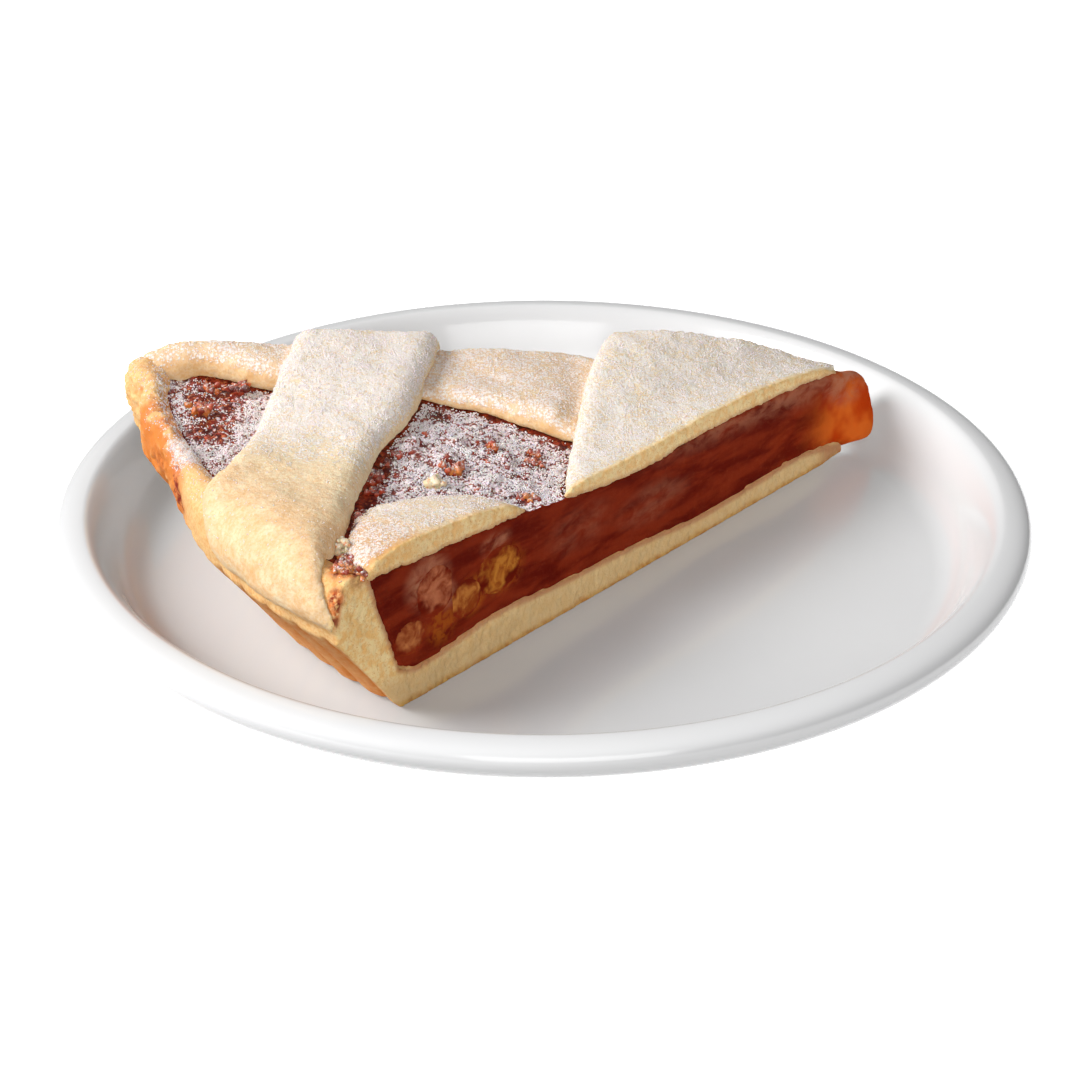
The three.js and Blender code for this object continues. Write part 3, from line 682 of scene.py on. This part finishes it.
def apple_pieces(material):
    for seed, (node, rosiness) in enumerate(ROSINESS.items(), 21):
        obj = fine_copy(node, node + "_cooked", voxel=0.25)
        mesh = obj.data
        soften(mesh, 4)
        points = coordinates(mesh)
        s = to_slice(points)
        middle = (s.min(axis=0) + s.max(axis=0)) / 2
        half = (s.max(axis=0) - s.min(axis=0)) / 2
        away = (s - middle) / half
        reach = np.hypot(away[:, 0], away[:, 2])
        # The cut face reaches over the gap round the piece and dips into the jelly, so that no ring shows.
        grow = 0.7 * ramp(reach, 0, 0.9) / np.maximum(reach, 0.2)
        u, h = s[:, 0] + grow * away[:, 0], s[:, 2] + grow * away[:, 2]
        v = np.where(s[:, 1] < 0.6, 0.13 * reach ** 4 - 0.11, s[:, 1])
        moved = np.array([to_world(*p)[:] for p in np.stack([u, v, h], axis=1)])
        set_coordinates(mesh, moved)
        paint(mesh, "pink", np.full(len(points), rosiness))
        paint(mesh, "edge", ramp(reach + 0.5 * rough(points, 3.5, seed, 4, 0.6), 0.5, 1.0))
        finished(obj, material, "apple", node)


# ---------- Crumbs and sugar ----------

OCTAHEDRON = np.array([(1, 0, 0), (-1, 0, 0), (0, 1, 0), (0, -1, 0), (0, 0, 1), (0, 0, -1)], dtype=float)
OCTAHEDRON_FACES = [(0, 2, 4), (2, 1, 4), (1, 3, 4), (3, 0, 4), (2, 0, 5), (1, 2, 5), (3, 1, 5), (0, 3, 5)]

GRAINS_ON_FILLING = 12000
GRAINS_ON_PASTRY = [4500, 1500, 2250, 3000, 900]    # strip at the rim, crust, then the other strips
LOOSE_CRUMBS = 70

# Crumbs where the photo shows one: u, v, h, half size and tone.
PLACED_CRUMBS = [(99.9, 21.4, 26.9, 1.7, 0.62), (98.2, 22.6, 26.6, 1.2, 0.4), (86.5, 23.9, 25.9, 1.4, 0.55),
                 (88.6, 22.4, 25.9, 1.2, 0.4), (83.8, 15.3, 24.2, 1.5, 0.5), (80.3, 18.4, 23.9, 1.3, 0.6),
                 (96.5, 5.2, 25.2, 1.4, 0.6), (106.3, 19.2, 27.3, 2.6, 1.15), (111.9, 28.9, 27, 1.6, 0.3),
                 (111.2, 31.2, 27, 1.5, 0.15), (107, 31.5, 27.4, 1.4, 0.25), (103.1, 32.4, 27.7, 1.3, 0.2),
                 (117, 25, 27.9, 1.2, 0.15), (128.5, 16.6, 30.6, 1.1, 0.3), (133, 13.6, 30.8, 0.9, 0.2),
                 (117, 71.8, 29.6, 1.6, 0.5), (109, 78.6, 29.5, 1.6, 0.45), (104.5, 73.9, 29.6, 1.7, 0.35),
                 (146, 2.2, 31.6, 1.3, 0.65), (146.8, 3.8, 31.8, 1.2, 0.75), (144.6, 4, 31.4, 1.4, 0.6),
                 (144, 1.4, 30.8, 1.2, 0.45), (142.6, 6, 30.8, 1.3, 0.35), (145, 0.9, 31, 1.0, 0.8),
                 (148, 1.6, 31.2, 0.9, 0.7), (139.6, 9.9, 31.2, 2.2, 1.1), (141.6, 8, 30.6, 1.1, 0.7)]
SMOOTH_TONE = 1.12      # above this a crumb is one smoother body, as the pale oval one is


def values(obj, name):
    """What was painted on a piece under this name."""
    layer = np.empty(len(obj.data.vertices))
    obj.data.attributes[name].data.foreach_get("value", layer)
    return layer


def scattered(obj, chance, count):
    """Random points on a piece, denser where `chance` is higher, and the outward directions there."""
    mesh = obj.data
    corners = np.empty(len(mesh.loops), dtype=np.int64)
    mesh.loops.foreach_get("vertex_index", corners)
    corners = corners.reshape(-1, 4)
    quads = coordinates(mesh)[corners]
    area = np.linalg.norm(np.cross(quads[:, 2] - quads[:, 0], quads[:, 3] - quads[:, 1]), axis=1)
    weight = area * np.maximum(chance, 0)[corners].mean(axis=1)
    picked = draw.choice(len(corners), count, p=weight / weight.sum())
    a, b = draw.random((2, count, 1))
    q = quads[picked]
    place = (q[:, 0] * (1 - a) + q[:, 1] * a) * (1 - b) + (q[:, 3] * (1 - a) + q[:, 2] * a) * b
    return place, normals(mesh)[corners[picked, 0]]


def first_in_the_open(places, outward, covers, count):
    """The first `count` of the places that have nothing above them, and their outward directions."""
    depsgraph = bpy.context.evaluated_depsgraph_get()
    trees = [BVHTree.FromObject(cover, depsgraph) for cover in covers]
    up = Vector((0, 0, 1))
    lift = up * (0.2 * MM)
    seen = np.array([all(tree.ray_cast(Vector(p) + lift, up)[0] is None for tree in trees)
                     for p in places])
    return places[seen][:count], outward[seen][:count]


def turned_at_random(count):
    """Random rotation matrices."""
    q = draw.normal(size=(count, 4))
    w, x, y, z = (q / np.linalg.norm(q, axis=1)[:, None]).T
    return np.stack([
        np.stack([1 - 2 * (y * y + z * z), 2 * (x * y - z * w), 2 * (x * z + y * w)], -1),
        np.stack([2 * (x * y + z * w), 1 - 2 * (x * x + z * z), 2 * (y * z - x * w)], -1),
        np.stack([2 * (x * z - y * w), 2 * (y * z + x * w), 1 - 2 * (x * x + y * y)], -1)], -2)


def cloud(name, shape, faces, places, sizes, lumps=0.0):
    """One mesh of many small bodies. `shape` is one body's corners, `lumps` its unevenness."""
    count = len(places)
    bodies = np.repeat(shape[None], count, axis=0)
    if lumps:
        shift = draw.random((count, 1, 3)) * 50
        swell = for_each((bodies * 1.3 + shift).reshape(-1, 3), noise.noise)
        bodies = bodies * (1 + lumps * swell.reshape(count, -1, 1))
    bodies = bodies * draw.uniform(0.7, 1.15, (count, 1, 3)) * sizes[:, None, None] * MM
    bodies = np.einsum("nij,nkj->nki", turned_at_random(count), bodies) + places[:, None, :]
    corners = np.asarray(faces)[None] + (np.arange(count) * len(shape))[:, None, None]
    mesh = bpy.data.meshes.new(name)
    mesh.from_pydata(bodies.reshape(-1, 3).tolist(), [], corners.reshape(-1, 3).tolist())
    mesh.update()
    return new_object(name, mesh)


def ball(divisions):
    """Corners and triangles of a round body."""
    maker = bmesh.new()
    bmesh.ops.create_icosphere(maker, subdivisions=divisions, radius=1)
    maker.verts.ensure_lookup_table()
    corners = np.array([v.co[:] for v in maker.verts])
    faces = [tuple(v.index for v in f.verts) for f in maker.faces]
    maker.free()
    return corners, faces


def sugar_pieces(filling, pastries, strips, material):
    """Single grains of sugar on the filling and on the pastries, which come in GRAINS_ON_PASTRY's order."""
    points = coordinates(filling.data)
    patches = 0.5 + rough(points, 3.0, 31, 3, 0.6)
    chance = values(filling, "top") * sugar_lying(to_slice(points)) * np.clip(patches, 0.02, 1) ** 1.6
    places, outward = scattered(filling, chance, 42000)
    places, outward = first_in_the_open(places, outward, strips, GRAINS_ON_FILLING)
    sizes = draw.uniform(0.1, 0.25, len(places))
    places = places + outward * (0.45 * sizes * MM)[:, None]
    grains = cloud("sugar_on_filling", OCTAHEDRON, OCTAHEDRON_FACES, places, sizes)
    finished(grains, material, "lattice")

    all_places, all_sizes = [], []
    for piece, count in zip(pastries, GRAINS_ON_PASTRY):
        patches = 0.55 + rough(coordinates(piece.data), 2.4, 32, 3, 0.6)
        places, outward = scattered(piece, values(piece, "sugar") * np.clip(patches, 0.05, 1), count)
        sizes = draw.uniform(0.08, 0.19, count)
        all_places.append(places + outward * (0.35 * sizes * MM)[:, None])
        all_sizes.append(sizes)
    places, sizes = np.concatenate(all_places), np.concatenate(all_sizes)
    grains = cloud("sugar_on_pastry", OCTAHEDRON, OCTAHEDRON_FACES, places, sizes)
    finished(grains, material, "lattice")


def crumb_piece(filling, strips, material):
    """Crumbs on the bare filling, a few placed ones among them, and a jammy cluster on the rim."""
    places, outward = scattered(filling, values(filling, "top"), 1200)
    places, outward = first_in_the_open(places, outward, strips, LOOSE_CRUMBS)
    sizes = 0.25 + 0.4 * draw.random(len(places)) ** 2
    tones = draw.uniform(0.05, 0.6, len(places))
    places = places - outward * (0.2 * sizes * MM)[:, None]
    for u, v, h, size, tone in PLACED_CRUMBS:
        bits, spread, scale = (4, 0.25, 1.2) if tone > SMOOTH_TONE else (14, 0.5, 1.0)
        shift = draw.normal(size=(bits, 3)) * (spread, spread, 0.2) * size
        clump = [np.array(to_world(u + a, v + b, h + c - 0.6)) for a, b, c in shift]
        places = np.vstack([places] + clump)
        sizes = np.append(sizes, draw.uniform(0.26, 0.58, bits) * size * scale)
        tones = np.append(tones, tone + draw.uniform(-0.3, 0.3, bits) * (tone < 1))
    corners, faces = ball(2)
    obj = cloud("crumbs_on_filling", corners, faces, places, sizes, 0.95)
    paint(obj.data, "tone", np.repeat(tones, len(corners)))
    paint(obj.data, "sugar", 0.3 * ramp(normals(obj.data)[:, 2], 0.2, 0.9))
    finished(obj, material, "filling")


# ---------- Light, floor and camera ----------

SWEEP_REACH = 3.0                                   # half the floor's width, m
SWEEP_CORNERS = [(-1, -1), (1, -1), (1, 1), (-1, 1)]
PIE_MIDDLE = (0, 0, 0.02)                           # the lamps point here
WHITE = (1, 1, 1, 1)


def sweep():
    """The floor, which is as white as the background."""
    shader = Shader("white_sweep", Roughness=0.9, Emission_Strength=1.0, Emission_Color=WHITE)
    colour = shader.mix(shader.noise(400, 2), srgb(250, 250, 250), srgb(252, 252, 252))
    mesh = bpy.data.meshes.new("floor")
    corners = [(x * SWEEP_REACH, y * SWEEP_REACH, 0) for x, y in SWEEP_CORNERS]
    mesh.from_pydata(corners, [], [(0, 1, 2, 3)])
    mesh.materials.append(shader.set(Base_Color=colour))
    floor = new_object("floor", mesh)
    floor.visible_diffuse = False


def area_light(name, place, size, power):
    lamp = bpy.data.lights.new(name, "AREA")
    lamp.shape = "SQUARE"
    lamp.size = size
    lamp.energy = power
    obj = new_object(name, lamp)
    obj.location = place
    obj.rotation_euler = (Vector(PIE_MIDDLE) - Vector(place)).to_track_quat("-Z", "Y").to_euler()


def light():
    world = bpy.data.worlds.new("studio")
    scene.world = world
    world.use_nodes = True
    background = world.node_tree.nodes["Background"]
    background.inputs["Color"].default_value = WHITE
    background.inputs["Strength"].default_value = 0.22
    area_light("window_left", (-0.78, -0.11, 0.62), size=0.5, power=10.5)
    area_light("soft_front", (0.1, -1.0, 0.5), size=0.8, power=6.0)
    scene.view_settings.view_transform = "Standard"


def camera():
    """Where the photographer stood, as fitted to the plate's outline."""
    data = bpy.data.cameras.new("camera")
    data.sensor_width = 36
    data.lens = 83.333
    data.clip_start = 0.01
    data.clip_end = 10
    obj = new_object("camera", data)
    obj.location = (-0.000707, -0.436422, 0.245096)
    obj.rotation_euler = (math.radians(90 - 28.701), 0, 0)
    scene.camera = obj


camera()
sweep()
light()
plate_piece(porcelain_material())
crust = crust_piece(pastry_material(
    "crust_pastry", pale=srgb(248, 204, 142), peach=srgb(236, 176, 106), brown=srgb(226, 130, 54)))
filling = filling_piece(jelly_material())
apple_pieces(apple_material())
strips = strip_pieces(pastry_material(
    "lattice_pastry", pale=srgb(252, 232, 196), peach=srgb(244, 208, 158), brown=srgb(226, 166, 98)))
crumb_piece(filling, strips, crumb_material())
sugar_pieces(filling, strips[:1] + [crust] + strips[1:], strips, sugar_material())
